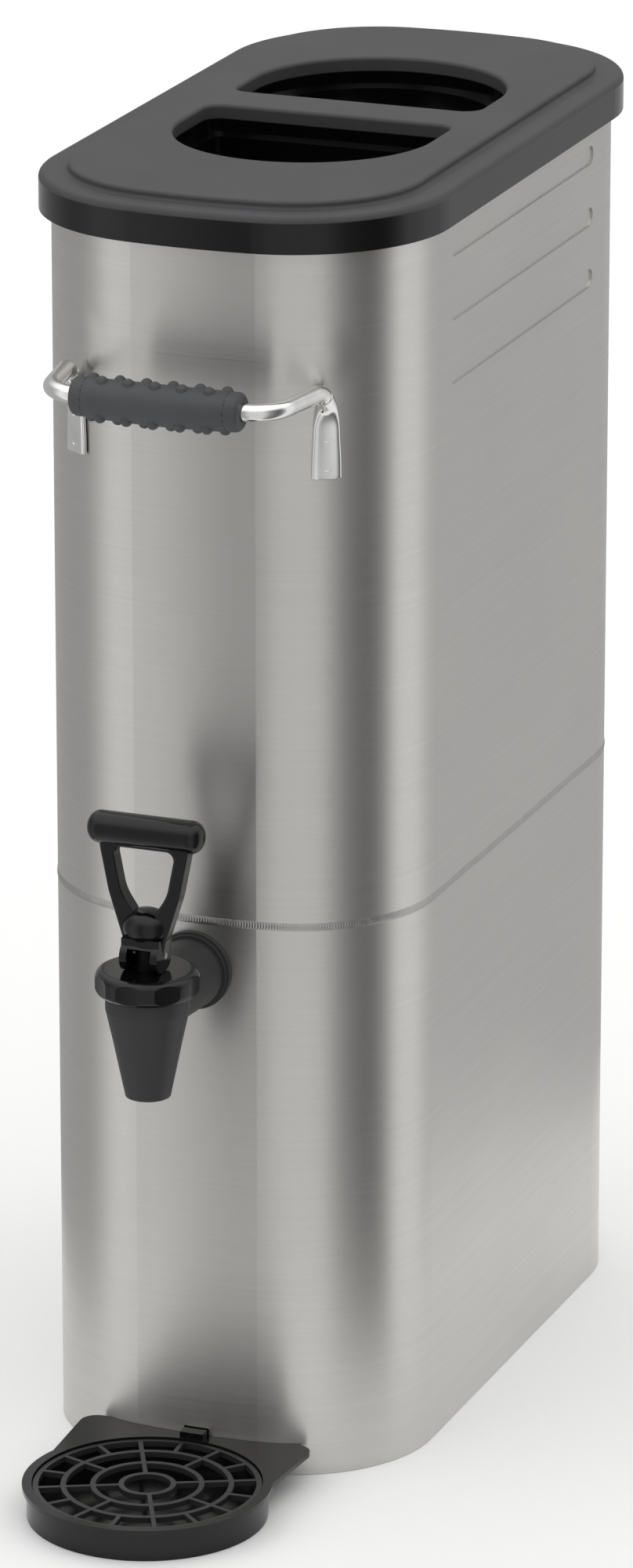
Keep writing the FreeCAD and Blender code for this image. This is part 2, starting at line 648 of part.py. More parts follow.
def tap_body():
    body = new_body("tap_body")
    outside = new_sketch(body, "TapOutside", "XZ_Plane")
    nozzle = "tapHeight - nozzleDrop"
    add_polygon(outside, [("0", nozzle), ("nozzleDiameter/2", nozzle),
                          ("coneDiameter/2", "tapHeight - coneDrop"),
                          ("chamberOutside/2", "tapHeight"),
                          ("chamberOutside/2", chamberTop), ("0", chamberTop)])
    revolve(body, outside)
    barrel_end = "tapReach - outerWasherThickness"
    barrel = body.newObject("PartDesign::AdditiveCone", "Barrel")
    barrel.Placement = FreeCAD.Placement(FreeCAD.Vector(0, 0, 0),
                                         FreeCAD.Rotation(FreeCAD.Vector(1, 0, 0), -90))
    barrel.setExpression("Radius1", bound("barrelDiameter/2"))
    barrel.setExpression("Radius2", bound("barrelRoot/2"))
    barrel.setExpression("Height", bound(barrel_end))
    barrel.setExpression("Placement.Base.z", bound("tapHeight"))
    doc.recompute()
    flange = new_sketch(body, "Flange", "XZ_Plane", "-(%s)" % barrel_end)
    add_circle(flange, "0", "tapHeight", "tapFlange")
    pad(body, flange, "tapFlangeThickness")
    shank = new_sketch(body, "Shank", "XZ_Plane", "-(%s)" % barrel_end)
    add_circle(shank, "0", "tapHeight", "shankDiameter")
    pad(body, shank, "outerWasherThickness + wall + shankLength", backward=True)
    trim = new_sketch(body, "BonnetRoom", "XZ_Plane")
    room = "bonnetDiameter/2 + shankFit"
    add_polygon(trim, [("0", chamberTop), ("chamberOutside/2", chamberTop),
                       ("chamberOutside/2", bonnetBottom), (room, bonnetBottom),
                       (room, "tapHeight + barrelRoot"), ("0", "tapHeight + barrelRoot")])
    revolve(body, trim, cut=True)
    chamber = new_sketch(body, "Chamber", "XZ_Plane")
    add_polygon(chamber, [("0", seatHeight), ("chamberBore/2", seatHeight),
                          ("chamberBore/2", chamberTop), ("0", chamberTop)])
    revolve(body, chamber, cut=True)
    outlet = new_sketch(body, "Outlet", "XZ_Plane")
    add_polygon(outlet, [("0", nozzle), ("outletBore/2", nozzle),
                         ("outletBore/2", seatHeight), ("0", seatHeight)])
    revolve(body, outlet, cut=True)
    way = new_sketch(body, "Waterway", "XZ_Plane", "-tapReach - wall - shankLength")
    add_circle(way, "0", "tapHeight", "shankBore")
    pocket(body, way, "tapReach + wall + shankLength", backward=True)
    at_tap(body)


def tap_bonnet():
    body = new_body("tap_bonnet")
    outside = new_sketch(body, "BonnetProfile", "XZ_Plane")
    thread = "chamberOutside/2 + threadFit"
    stem_hole = "stemDiameter/2 + stemFit"
    under_top = bonnetUpper + " - bonnetTop"
    add_polygon(outside, [(thread, bonnetBottom), ("bonnetDiameter/2", bonnetBottom),
                          ("bonnetDiameter/2", bonnetUpper), (stem_hole, bonnetUpper),
                          (stem_hole, under_top), ("bonnetBore/2", under_top),
                          ("bonnetBore/2", chamberTop), (thread, chamberTop)])
    revolve(body, outside)
    outer = size("bonnetDiameter/2")
    round_edges(body, "bonnetRound", lambda edge: is_outer_ring(edge, outer))
    grip_flat = body.newObject("PartDesign::SubtractiveCylinder", "GripFlat")
    grip_flat.setExpression("Radius", bound("scallopRadius"))
    grip_flat.setExpression("Height", bound("bonnetHeight + 4"))
    grip_flat.setExpression("Placement.Base.x",
                            bound("bonnetDiameter/2 + scallopRadius - scallopDepth"))
    grip_flat.setExpression("Placement.Base.z", bound(bonnetBottom + " - 2"))
    doc.recompute()
    pattern = body.newObject("PartDesign::PolarPattern", "GripFlats")
    pattern.Originals = [grip_flat]
    pattern.Axis = (outside, ["V_Axis"])
    pattern.Angle = 360
    pattern.Occurrences = 8
    body.Tip = pattern
    at_tap(body)


def is_outer_ring(edge, radius):
    box = edge.BoundBox
    return box.ZLength < 0.01 and abs(box.XMax - radius) < 0.01 and abs(box.XMin + radius) < 0.01


def valve_stem():
    body = new_body("valve_stem")
    profile = new_sketch(body, "StemProfile", "XZ_Plane")
    low = seatHeight + " + seatGap + 1.5"
    shoulder = seatHeight + " + seatGap + cupFloor"
    top = pinHeight + " + stemTip"
    add_polygon(profile, [("0", low), ("stemButton/2", low), ("stemButton/2", shoulder + " - 1"),
                          ("stemDiameter/2", shoulder + " - 1"), ("stemDiameter/2", top),
                          ("0", top)])
    revolve(body, profile)
    hole = new_sketch(body, "PinHole", "YZ_Plane", "-stemDiameter")
    add_circle(hole, "0", pinHeight, "pinDiameter + 2*pinFit")
    pocket(body, hole, "2*stemDiameter", backward=True)
    at_tap(body)


def seat_cup():
    body = new_body("seat_cup")
    profile = new_sketch(body, "CupProfile", "XZ_Plane")
    base = seatHeight + " + seatGap"
    floor = base + " + cupFloor"
    rim = base + " + cupHeight"
    inside = "cupDiameter/2 - cupWall"
    add_polygon(profile, [("0", base), ("outletBore/2 + 2.5", base), ("cupDiameter/2", floor),
                          ("cupDiameter/2", rim), (inside, rim), (inside, floor),
                          ("stemDiameter/2", floor), ("stemDiameter/2", floor + " - 1"),
                          ("stemButton/2", floor + " - 1"), ("stemButton/2", base + " + 1.5"),
                          ("0", base + " + 1.5")])
    revolve(body, profile)
    at_tap(body)


def tap_spring():
    body = new_body("tap_spring")
    wire = new_sketch(body, "SpringWire", "XZ_Plane")
    low = seatHeight + " + seatGap + cupFloor + springWire/2 + 0.1"
    high = bonnetUpper + " - bonnetTop - springWire/2 - 0.1"
    add_circle(wire, "springDiameter/2", low, "springWire")
    coil = body.newObject("PartDesign::AdditiveHelix", "Coil")
    coil.Profile = wire
    coil.ReferenceAxis = (wire, ["V_Axis"])
    coil.Mode = "height-turns-angle"
    coil.Angle = 0
    coil.setExpression("Turns", bound("springTurns"))
    coil.setExpression("Height", bound("%s - (%s)" % (high, low)))
    settle(body, coil, wire, adds=True)
    at_tap(body)


def shank_ring(body, name, front, diameter, hole, length):
    # A ring round the tap's shank, growing inward from its front face's Y.
    ring = new_sketch(body, name, "XZ_Plane", "-(%s)" % front)
    add_circle(ring, "0", "tapHeight", diameter)
    add_circle(ring, "0", "tapHeight", hole)
    pad(body, ring, length, backward=True)


def outer_washer():
    # Soft, so its inner face follows the tank's bowed front.
    body = new_body("outer_washer")
    front = frontFace + " - outerWasherThickness"
    shank_ring(body, "OuterRing", front, "outerWasher", "shankDiameter + 2*shankFit",
               "outerWasherThickness + 2")
    tank = new_sketch(body, "TankFront", "XY_Plane", "tapHeight - outerWasher")
    add_outline(tank, "0")
    pocket(body, tank, "2*outerWasher", backward=True)


def inner_washer():
    body = new_body("inner_washer")
    shank_ring(body, "InnerRing", frontFace, "innerWasher", "shankDiameter + 2*shankFit",
               "wall + innerWasherThickness")
    tank = new_sketch(body, "TankWall", "XY_Plane", "tapHeight - innerWasher")
    add_outline(tank, "innerWasher")
    add_outline(tank, "(-wall)")
    pocket(body, tank, "2*innerWasher", backward=True)


def shank_nut():
    body = new_body("shank_nut")
    back = "-bodyDepth/2 + wall + innerWasherThickness"
    outline = new_sketch(body, "NutOutline", "XZ_Plane", "-(%s)" % back)
    corner = "nutAcross/sqrt(3)"
    points = []
    for number in range(6):
        across = "%s*%.6f" % (corner, math.cos(math.radians(60 * number)))
        up = "tapHeight + %s*%.6f" % (corner, math.sin(math.radians(60 * number)))
        points.append((across, up))
    add_polygon(outline, points)
    add_circle(outline, "0", "tapHeight", "shankDiameter + 2*threadFit")
    pad(body, outline, "nutThickness", backward=True)


def arc_polygon(points):
    # A flat closed wire through (x, z, radius) corners, each turned by a tangent arc.
    count = len(points)
    corners = [FreeCAD.Vector(x, 0, z) for x, z, radius in points]
    ends = []
    edges = []
    for number in range(count):
        corner = corners[number]
        back = (corners[number - 1] - corner).normalize()
        ahead = (corners[(number + 1) % count] - corner).normalize()
        half = back.getAngle(ahead) / 2
        radius = points[number][2]
        reach = radius / math.tan(half)
        middle = (back + ahead).normalize() * (radius / math.sin(half) - radius)
        ends.append((corner + back * reach, corner + middle, corner + ahead * reach))
    for number, (arc_start, middle, arc_end) in enumerate(ends):
        edges.append(Part.Arc(arc_start, middle, arc_end).toShape())
        edges.append(Part.makeLine(arc_end, ends[(number + 1) % count][0]))
    return Part.Wire(edges)


def slab(wire, front, depth):
    face = Part.Face(wire)
    face.translate(FreeCAD.Vector(0, front, 0))
    return face.extrude(FreeCAD.Vector(0, depth, 0))


def lever_shape():
    # Drawn about the pivot pin at the origin: fork below, open loop, crossbar on top.
    fork = size(forkWidth + "/2")
    wide = size("loopWidth/2")
    waist = size("loopWaist/2")
    foot = size("loopFoot/2")
    arm = size("loopArm")
    belly = size("loopBelly")
    high = size("loopTop")
    depth = size("loopDepth")
    right = [(fork, 0, 1), (fork + 1, size("camRadius"), 12), (waist + arm, belly, 40),
             (wide + arm, high, 20), (wide + arm, size("barRise"), 1)]
    outer = right + [(-x, z, radius) for x, z, radius in reversed(right)]
    right = [(foot, size("loopBottom"), 2.5), (waist, belly, 20), (wide, high, 3.5)]
    opening = right + [(-x, z, radius) for x, z, radius in reversed(right)]
    frame = slab(arc_polygon(outer), -depth / 2, depth)
    frame = frame.cut(slab(arc_polygon(opening), -depth, 2 * depth))
    flat = [edge for edge in frame.Edges if edge.BoundBox.YLength < 0.01]
    frame = frame.makeFillet(size("loopRound"), flat)
    return frame.fuse([crossbar(), lever_boss(), lever_cam()]).cut(fork_slot())


def crossbar():
    radius = size("barDiameter/2")
    length = size("barLength")
    rise = size("barRise")
    start = FreeCAD.Vector(-length / 2, 0, rise)
    along = FreeCAD.Vector(1, 0, 0)
    bar = Part.makeCylinder(radius, length, start, along)
    return bar.makeFillet(radius * 0.8, [edge for edge in bar.Edges if edge.BoundBox.XLength < 0.01])


def lever_boss():
    # A squat dome round the neck, under the loop.
    radius = size("bossRadius")
    ball = Part.makeSphere(radius)
    squash = FreeCAD.Matrix()
    squash.scale(FreeCAD.Vector(1, size("bossDepth/bossRadius"), size("bossHeight/bossRadius")))
    dome = ball.transformGeometry(squash)
    dome.translate(FreeCAD.Vector(0, 0, size("bossRise")))
    return dome


def lever_cam():
    # The fork's heel: a round end set forward of the pin, which lifts the stem as it turns.
    width = size(forkWidth)
    radius = size("camRadius")
    ahead = size("camOffset")
    front = size("forkFront")
    along = FreeCAD.Vector(1, 0, 0)
    heel = Part.makeCylinder(radius, width, FreeCAD.Vector(-width / 2, -ahead, 0), along)
    root = Part.makeCylinder(radius, width, FreeCAD.Vector(-width / 2, 0, 0), along)
    rise = size("camRadius + 4")
    post = Part.makeBox(width, ahead + radius, rise, FreeCAD.Vector(-width / 2, -ahead, 0))
    web = Part.makeBox(width, ahead, 2 * radius, FreeCAD.Vector(-width / 2, -ahead, -radius))
    brow = Part.makeBox(width, front, radius, FreeCAD.Vector(-width / 2, -front, size("forkLip/2")))
    return heel.fuse([root, post, web, brow])


def fork_slot():
    # Room for the stem, higher inside where its top corner swings past the front lip.
    gap = size(forkSlot)
    low = size("camRadius + 1")
    high = size("sqrt(stemDiameter*stemDiameter/4 + stemTip*stemTip) + slotRoom")
    deep = size("4*camRadius")
    ahead = size("stemDiameter/2 + slotRoom")
    slot = Part.makeBox(gap, deep, low + size("forkLip"), FreeCAD.Vector(-gap / 2, -deep / 2, -low))
    inside = Part.makeBox(gap, deep, low + high, FreeCAD.Vector(-gap / 2, -ahead, -low))
    return slot.fuse(inside)


def tap_lever():
    hole = Part.makeCylinder(size("pinDiameter/2"), size(forkWidth + " + 2"),
                             FreeCAD.Vector(-size(forkWidth + "/2 + 1"), 0, 0),
                             FreeCAD.Vector(1, 0, 0))
    lever = doc.addObject("Part::Feature", "tap_lever")
    lever.Label = "tap_lever"
    lever.Shape = lever_shape().cut(hole).removeSplitter()
    at_tap(lever, pinHeight)
    sub_parts.append(lever)


def lever_pin():
    body = new_body("lever_pin")
    profile = new_sketch(body, "PinProfile", "YZ_Plane", "-" + forkWidth + "/2")
    add_circle(profile, "0", "0", "pinDiameter")
    pad(body, profile, forkWidth)
    at_tap(body, pinHeight)


def wing_plate():
    # The tray's flat plate: a round front that runs back in two straight edges.
    radius = size("trayRim/2")
    wing = size("trayWing")
    back = size("trayReach + 12")
    turn = math.radians(size("wingStart"))
    touch = FreeCAD.Vector(radius * math.cos(turn), -radius * math.sin(turn), 0)
    points = [FreeCAD.Vector(-touch.x, touch.y, 0), touch, FreeCAD.Vector(wing, back, 0),
              FreeCAD.Vector(-wing, back, 0), FreeCAD.Vector(-touch.x, touch.y, 0)]
    wing_face = Part.Face(Part.makePolygon(points))
    plate = wing_face.extrude(FreeCAD.Vector(0, 0, size("trayPlate")))
    disc = Part.makeCylinder(radius, size("trayPlate"))
    shape = plate.fuse(disc)
    shape.translate(FreeCAD.Vector(0, size(trayAxis), size("trayHeight - trayPlate")))
    return shape


def drip_tray():
    tray = doc.addObject("Part::Feature", "drip_tray")
    tray.Label = "drip_tray"
    outside = size("trayDiameter/2")
    ledge = size("trayHeight - grateSink - grateThickness")
    seat = size("grateDiameter/2 + grateGap")
    axis = FreeCAD.Vector(0, size(trayAxis), 0)
    high = size("trayHeight")
    cup = Part.makeCylinder(outside, high, axis)
    shape = cup.fuse(wing_plate())
    gap = size("trayGap")
    grown = doc.getObject("TankEnvelope").Shape.makeOffsetShape(gap, 0.01)
    shape = shape.cut(grown)
    sharp = [edge for edge in shape.Edges if is_wing_corner(edge)]
    shape = shape.makeFillet(size("wingCorner"), sharp)
    floor = size("trayFloor")
    hollow = Part.makeCylinder(seat - size("ledgeWidth"), high, axis + FreeCAD.Vector(0, 0, floor))
    mouth = Part.makeCylinder(seat, high, axis + FreeCAD.Vector(0, 0, ledge))
    shape = shape.cut([hollow, mouth]).fuse(tray_clip()).removeSplitter()
    tray.Shape = shape
    sub_parts.append(tray)


def is_wing_corner(edge):
    # The two upright edges where the plate's sides meet the tank's rounded front.
    box = edge.BoundBox
    upright = box.XLength < 0.01 and box.YLength < 0.01
    return upright and abs(box.XMin) > size("trayWing") * 0.8 and box.YMin > size(frontFace) - 5


def tray_clip():
    # A cranked tongue that stands on the plate's back edge and enters the tank's slot.
    half = size("clipWidth/2")
    thick = size("clipThickness")
    level = size("trayHeight - trayPlate")
    start = size(frontFace + " - trayGap - clipReach")
    reach = size("trayGap + clipReach + wall + 2")
    raised = size("trayPlate") + thick
    tongue = Part.makeBox(2 * half, reach, thick, FreeCAD.Vector(-half, start, level + raised - thick))
    foot = Part.makeBox(2 * half, size("clipReach"), raised, FreeCAD.Vector(-half, start, level))
    return tongue.fuse(foot)


def drip_grate():
    body = new_body("drip_grate")
    level = "trayHeight - grateSink - grateThickness"
    rings = new_sketch(body, "Rings", "XY_Plane", level)
    rim = "grateDiameter - ringWidth"
    for ring in (rim, "outerRing", "middleRing", "hubRing"):
        add_circle(rings, "0", "0", ring + " - ringWidth")
        add_circle(rings, "0", "0", ring + " + ringWidth")
    pad(body, rings, "grateThickness")
    spokes(body, level, "HubSpokes", 4, 0, "hubRing/2")
    spokes(body, level, "MiddleSpokes", 4, 45, "middleRing/2")
    spokes(body, level, "OuterSpokes", 8, 22.5, "outerRing/2")
    body.Placement.Base = FreeCAD.Vector(0, size(trayAxis), 0)
    body.Placement.Rotation = FreeCAD.Rotation(FreeCAD.Vector(0, 0, 1), size("spokeTurn"))
    body.setExpression("Placement.Base.y", bound(trayAxis))


def spokes(body, level, name, count, turn, inner):
    spoke = body.newObject("PartDesign::AdditiveBox", name)
    end = "(grateDiameter/2 - ringWidth/2)"
    spoke.setExpression("Length", bound("%s - (%s)" % (end, inner)))
    spoke.setExpression("Width", bound("spokeWidth"))
    spoke.setExpression("Height", bound("grateThickness"))
    angle = math.radians(turn)
    cosine, sine = math.cos(angle), math.sin(angle)
    spoke.setExpression("Placement.Base.x",
                        bound("(%s)*%.6f + spokeWidth/2*%.6f" % (inner, cosine, sine)))
    spoke.setExpression("Placement.Base.y",
                        bound("(%s)*%.6f - spokeWidth/2*%.6f" % (inner, sine, cosine)))
    spoke.setExpression("Placement.Base.z", bound(level))
    spoke.Placement.Rotation = FreeCAD.Rotation(FreeCAD.Vector(0, 0, 1), turn)
    doc.recompute()
    pattern = body.newObject("PartDesign::PolarPattern", name + "Round")
    pattern.Originals = [spoke]
    pattern.Axis = (plane(body, "Z_Axis"), [""])
    pattern.Angle = 360
    pattern.Occurrences = count
    body.Tip = pattern


def build():
    fill_sheet()
    tank_envelope()
    upper_shell()
    lower_shell()
    shell_weld()
    tank_floor()
    floor_weld()
    base_plate()
    lid()
    handle_rods()
    handle_grip("front_handle_grip", 0)
    handle_grip("rear_handle_grip", 1)
    tap_body()
    tap_bonnet()
    valve_stem()
    seat_cup()
    tap_spring()
    outer_washer()
    inner_washer()
    shank_nut()
    tap_lever()
    lever_pin()
    drip_tray()
    drip_grate()
    doc.recompute()


def check_document():
    for thing in doc.Objects:
        if "Invalid" in thing.State or "Error" in thing.State:
            raise RuntimeError("%s failed to build" % thing.Label)
    for thing in sub_parts:
        if thing.Shape.isNull() or not thing.Shape.isValid():
            raise RuntimeError("%s has a bad shape" % thing.Label)


def write_parts():
    os.makedirs("parts", exist_ok=True)
    for thing in sub_parts:
        thing.Shape.exportStep("parts/%s.step" % thing.Label)
        print("%-20s solids %d volume %.1f" % (thing.Label, len(thing.Shape.Solids), thing.Shape.Volume))


build()
check_document()
write_parts()
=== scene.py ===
import bmesh
import bpy
import math
from mathutils import Matrix, Vector


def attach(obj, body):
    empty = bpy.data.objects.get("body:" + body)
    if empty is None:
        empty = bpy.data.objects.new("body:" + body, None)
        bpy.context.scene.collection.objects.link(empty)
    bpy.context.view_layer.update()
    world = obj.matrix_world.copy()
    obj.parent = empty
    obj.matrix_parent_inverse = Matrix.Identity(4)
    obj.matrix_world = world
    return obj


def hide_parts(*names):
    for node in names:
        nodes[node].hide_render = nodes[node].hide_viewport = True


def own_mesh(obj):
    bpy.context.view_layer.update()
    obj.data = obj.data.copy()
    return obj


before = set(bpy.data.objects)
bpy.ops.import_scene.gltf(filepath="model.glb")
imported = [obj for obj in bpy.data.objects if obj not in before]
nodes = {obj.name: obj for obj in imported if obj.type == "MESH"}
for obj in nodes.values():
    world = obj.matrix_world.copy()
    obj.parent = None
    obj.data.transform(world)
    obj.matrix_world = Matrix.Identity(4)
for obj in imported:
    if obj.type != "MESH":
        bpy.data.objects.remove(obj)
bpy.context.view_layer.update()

mm = 0.001

view = {
    "place": (1.2974, -3.3678, 1.4517),     # metres
    "tiltDown": 18.16,                      # degrees
    "turn": 21.22,
    "lens": 190.8,
    "sensor": 36,
    "farthest": 60,
}

room = {
    # brightness of the studio walls: degrees round from the front, level
    "walls": [(-180, 0.54), (-150, 0.45), (-80, 0.45), (-69, 0.60), (-57, 0.88), (-45, 0.92),
              (-33, 0.76), (-21, 0.55), (-12, 0.36), (-3, 0.58), (6, 0.72), (38, 0.74),
              (45, 0.62), (51, 0.47), (57, 0.32), (66, 0.22), (78, 0.14), (87, 0.18),
              (93, 0.28), (99, 0.50), (107, 0.92), (128, 0.92), (141, 0.70), (158, 0.54),
              (180, 0.54)],
    "ceiling": 1.5,
    "ceilingFrom": (0.3, 0.9),      # where the walls start and finish turning into ceiling
    "floorTone": (0.9, 0.9, 0.895),
    "paperHalf": (0.25, 0.42),      # metres across and front to back
    "floorRadius": 14,
    "floorLow": 0.0002,             # the floor lies this far under the base plate
}


def setUpCamera():
    data = bpy.data.cameras.new("mainView")
    data.lens = view["lens"]
    data.sensor_width = view["sensor"]
    data.clip_end = view["farthest"]
    camera = bpy.data.objects.new("mainView", data)
    camera.location = view["place"]
    camera.rotation_euler = (math.radians(90 - view["tiltDown"]), 0, math.radians(view["turn"]))
    bpy.context.scene.collection.objects.link(camera)
    bpy.context.scene.camera = camera
    bpy.context.scene.view_settings.view_transform = "Standard"
    print("camera placed")


def setUpRoom():
    world = bpy.data.worlds.new("studio")
    bpy.context.scene.world = world
    world.use_nodes = True
    tree = world.node_tree
    tree.nodes.clear()
    out = tree.nodes.new("ShaderNodeOutputWorld")
    light = tree.nodes.new("ShaderNodeBackground")
    where = tree.nodes.new("ShaderNodeTexCoord")
    split = tree.nodes.new("ShaderNodeSeparateXYZ")
    minusY = mathNode(tree, "MULTIPLY", None, -1)
    around = mathNode(tree, "ARCTAN2")
    spread = tree.nodes.new("ShaderNodeMapRange")
    spread.inputs["From Min"].default_value = -math.pi
    spread.inputs["From Max"].default_value = math.pi
    walls = tree.nodes.new("ShaderNodeValToRGB")
    setRamp(walls, [((turn + 180) / 360, (level,) * 3 + (1,)) for turn, level in room["walls"]])
    high = tree.nodes.new("ShaderNodeMapRange")
    high.interpolation_type = "SMOOTHSTEP"
    high.inputs["From Min"].default_value = room["ceilingFrom"][0]
    high.inputs["From Max"].default_value = room["ceilingFrom"][1]
    blend = tree.nodes.new("ShaderNodeMix")
    blend.data_type = "RGBA"
    blend.inputs["B"].default_value = (room["ceiling"],) * 3 + (1,)
    link = tree.links.new
    link(where.outputs["Generated"], split.inputs[0])
    link(split.outputs["Y"], minusY.inputs[0])
    link(split.outputs["X"], around.inputs[0])
    link(minusY.outputs[0], around.inputs[1])
    link(around.outputs[0], spread.inputs["Value"])
    link(spread.outputs[0], walls.inputs[0])
    link(split.outputs["Z"], high.inputs["Value"])
    link(high.outputs[0], blend.inputs["Factor"])
    link(walls.outputs[0], blend.inputs["A"])
    link(blend.outputs["Result"], light.inputs["Color"])
    link(light.outputs[0], out.inputs["Surface"])
    print("studio light set")


def setRamp(ramp, stops):
    elements = ramp.color_ramp.elements
    while len(elements) > 1:
        elements.remove(elements[0])
    for number, (place, colour) in enumerate(stops):
        element = elements[0] if number == 0 else elements.new(place)
        element.position = place
        element.color = colour


def mathNode(tree, operation, first=None, second=None):
    node = tree.nodes.new("ShaderNodeMath")
    node.operation = operation
    for number, value in enumerate((first, second)):
        if value is not None:
            node.inputs[number].default_value = value
    return node


def layFloor():
    # An oval sheet of paper under the object, and the same paper going on all round.
    # The outer part is kept out of reflections, so the steel mirrors the studio walls.
    inner = room["paperHalf"]
    outer = (room["floorRadius"],) * 2
    for name, rings in (("paperSheet", [(0, 0), (0.15, 0.25), inner]),
                        ("studioFloor", [inner, (2, 2), outer])):
        mesh = bpy.data.meshes.new(name)
        shape = bmesh.new()
        count = 96
        turns = [2 * math.pi * n / count for n in range(count)]
        loops = []
        for halfX, halfY in rings:
            if halfX == 0:
                loops.append([shape.verts.new((0, 0, 0))])
            else:
                loops.append([shape.verts.new((halfX * math.cos(turn), halfY * math.sin(turn), 0))
                              for turn in turns])
        for low, high in zip(loops, loops[1:]):
            for n in range(count):
                after = (n + 1) % count
                if len(low) == 1:
                    shape.faces.new((low[0], high[n], high[after]))
                else:
                    shape.faces.new((low[n], high[n], high[after], low[after]))
        shape.to_mesh(mesh)
        shape.free()
        floor = bpy.data.objects.new(name, mesh)
        bpy.context.scene.collection.objects.link(floor)
        floor.location.z = -room["floorLow"]
        mesh.materials.append(materials["floorPaper"])
        if name == "studioFloor":
            floor.visible_glossy = False
    print("floor laid")


def newMaterial(name, **settings):
    material = bpy.data.materials.new(name)
    material.use_nodes = True
    tree = material.node_tree
    shader = tree.nodes["Principled BSDF"]
    for key, value in settings.items():
        shader.inputs[key.replace("_", " ")].default_value = value
    return material, tree, shader


def grainPlace(tree, scale=(1, 1, 1), offset=(0, 0, 0)):
    where = tree.nodes.new("ShaderNodeTexCoord")
    stretch = tree.nodes.new("ShaderNodeMapping")
    stretch.inputs["Scale"].default_value = scale
    stretch.inputs["Location"].default_value = offset
    tree.links.new(where.outputs["Object"], stretch.inputs["Vector"])
    return stretch.outputs[0]


def noiseAt(tree, vector, scale, detail=3, roughness=0.55):
    noise = tree.nodes.new("ShaderNodeTexNoise")
    noise.inputs["Scale"].default_value = scale
    noise.inputs["Detail"].default_value = detail
    noise.inputs["Roughness"].default_value = roughness
    tree.links.new(vector, noise.inputs["Vector"])
    return noise.outputs["Fac"]


def spreadTo(tree, value, low, high, fromLow=0.3, fromHigh=0.7):
    node = tree.nodes.new("ShaderNodeMapRange")
    node.inputs["From Min"].default_value = fromLow
    node.inputs["From Max"].default_value = fromHigh
    node.inputs["To Min"].default_value = low
    node.inputs["To Max"].default_value = high
    tree.links.new(value, node.inputs["Value"])
    return node.outputs[0]


def colourBetween(tree, factor, low, high):
    mix = tree.nodes.new("ShaderNodeMix")
    mix.data_type = "RGBA"
    mix.inputs["A"].default_value = low + (1,)
    mix.inputs["B"].default_value = high + (1,)
    tree.links.new(factor, mix.inputs["Factor"])
    return mix.outputs["Result"]


def addBump(tree, shader, height, depth, after=None):
    bump = tree.nodes.new("ShaderNodeBump")
    bump.inputs["Distance"].default_value = depth
    tree.links.new(height, bump.inputs["Height"])
    if after is not None:
        tree.links.new(after, bump.inputs["Normal"])
    tree.links.new(bump.outputs[0], shader.inputs["Normal"])
    return bump.outputs[0]


shellFinish = {
    "light": (0.635, 0.625, 0.603),
    "dark": (0.590, 0.580, 0.558),
    "roughness": (0.28, 0.36),
    "grain": (22, 22, 3200),        # long across, fine up and down
    "depth": 0.000004,              # metres
    "marks": [(57, -163, 517), (-57, -163, 517), (57, 163, 517), (-57, 163, 517)],
}

tankFinish = {
    "light": (0.6, 0.6, 0.59),
    "dark": (0.52, 0.52, 0.51),
    "roughness": (0.3, 0.42),
    "grain": (4, 900, 4),
    "depth": 0.00001,
    "alongX": True,
}

pressMark = {
    "radii": (0.001, 0.019),        # metres, from full depth to none
    "depth": 0.0005,
}


def brushedSteel(name, light, dark, roughness, grain, depth, alongX=False, marks=()):
    material, tree, shader = newMaterial(name, Metallic=1.0, Anisotropic=0.75,
                                         Anisotropic_Rotation=0.0 if alongX else 0.25)
    if not alongX:
        tangent = tree.nodes.new("ShaderNodeTangent")
        tangent.direction_type = "RADIAL"
        tangent.axis = "Z"
        tree.links.new(tangent.outputs[0], shader.inputs["Tangent"])
    fine = noiseAt(tree, grainPlace(tree, grain), 1.0, 4, 0.7)
    long = noiseAt(tree, grainPlace(tree, tuple(g * 0.25 for g in grain)), 1.0, 2, 0.5)
    cloud = noiseAt(tree, grainPlace(tree), 9, 3, 0.5)
    both = mathNode(tree, "MULTIPLY_ADD")
    both.inputs[1].default_value = 0.55
    tree.links.new(fine, both.inputs[0])
    half = mathNode(tree, "MULTIPLY", None, 0.45)
    tree.links.new(long, half.inputs[0])
    tree.links.new(half.outputs[0], both.inputs[2])
    tone = colourBetween(tree, spreadTo(tree, both.outputs[0], 0, 1), dark, light)
    worn = tree.nodes.new("ShaderNodeMix")
    worn.data_type = "RGBA"
    worn.blend_type = "MULTIPLY"
    worn.inputs["Factor"].default_value = 0.35
    tree.links.new(tone, worn.inputs["A"])
    tree.links.new(colourBetween(tree, spreadTo(tree, cloud, 0, 1), (0.86, 0.86, 0.87),
                                 (1, 1, 0.99)), worn.inputs["B"])
    tree.links.new(worn.outputs["Result"], shader.inputs["Base Color"])
    tree.links.new(spreadTo(tree, both.outputs[0], roughness[1], roughness[0]),
                   shader.inputs["Roughness"])
    after = None
    if marks:
        after = addPressMarks(tree, shader, marks)
    addBump(tree, shader, both.outputs[0], depth, after)
    return material


def addPressMarks(tree, shader, marks):
    # Soft dimples pressed into the sheet just above each handle foot.
    where = tree.nodes.new("ShaderNodeTexCoord")
    total = None
    for place in marks:
        away = tree.nodes.new("ShaderNodeVectorMath")
        away.operation = "DISTANCE"
        away.inputs[1].default_value = tuple(value * mm for value in place)
        tree.links.new(where.outputs["Object"], away.inputs[0])
        near = spreadTo(tree, away.outputs["Value"], 1, 0, *pressMark["radii"])
        near.node.interpolation_type = "SMOOTHERSTEP"
        if total is None:
            total = near
        else:
            add = mathNode(tree, "ADD")
            tree.links.new(total, add.inputs[0])
            tree.links.new(near, add.inputs[1])
            total = add.outputs[0]
    return addBump(tree, shader, total, pressMark["depth"])


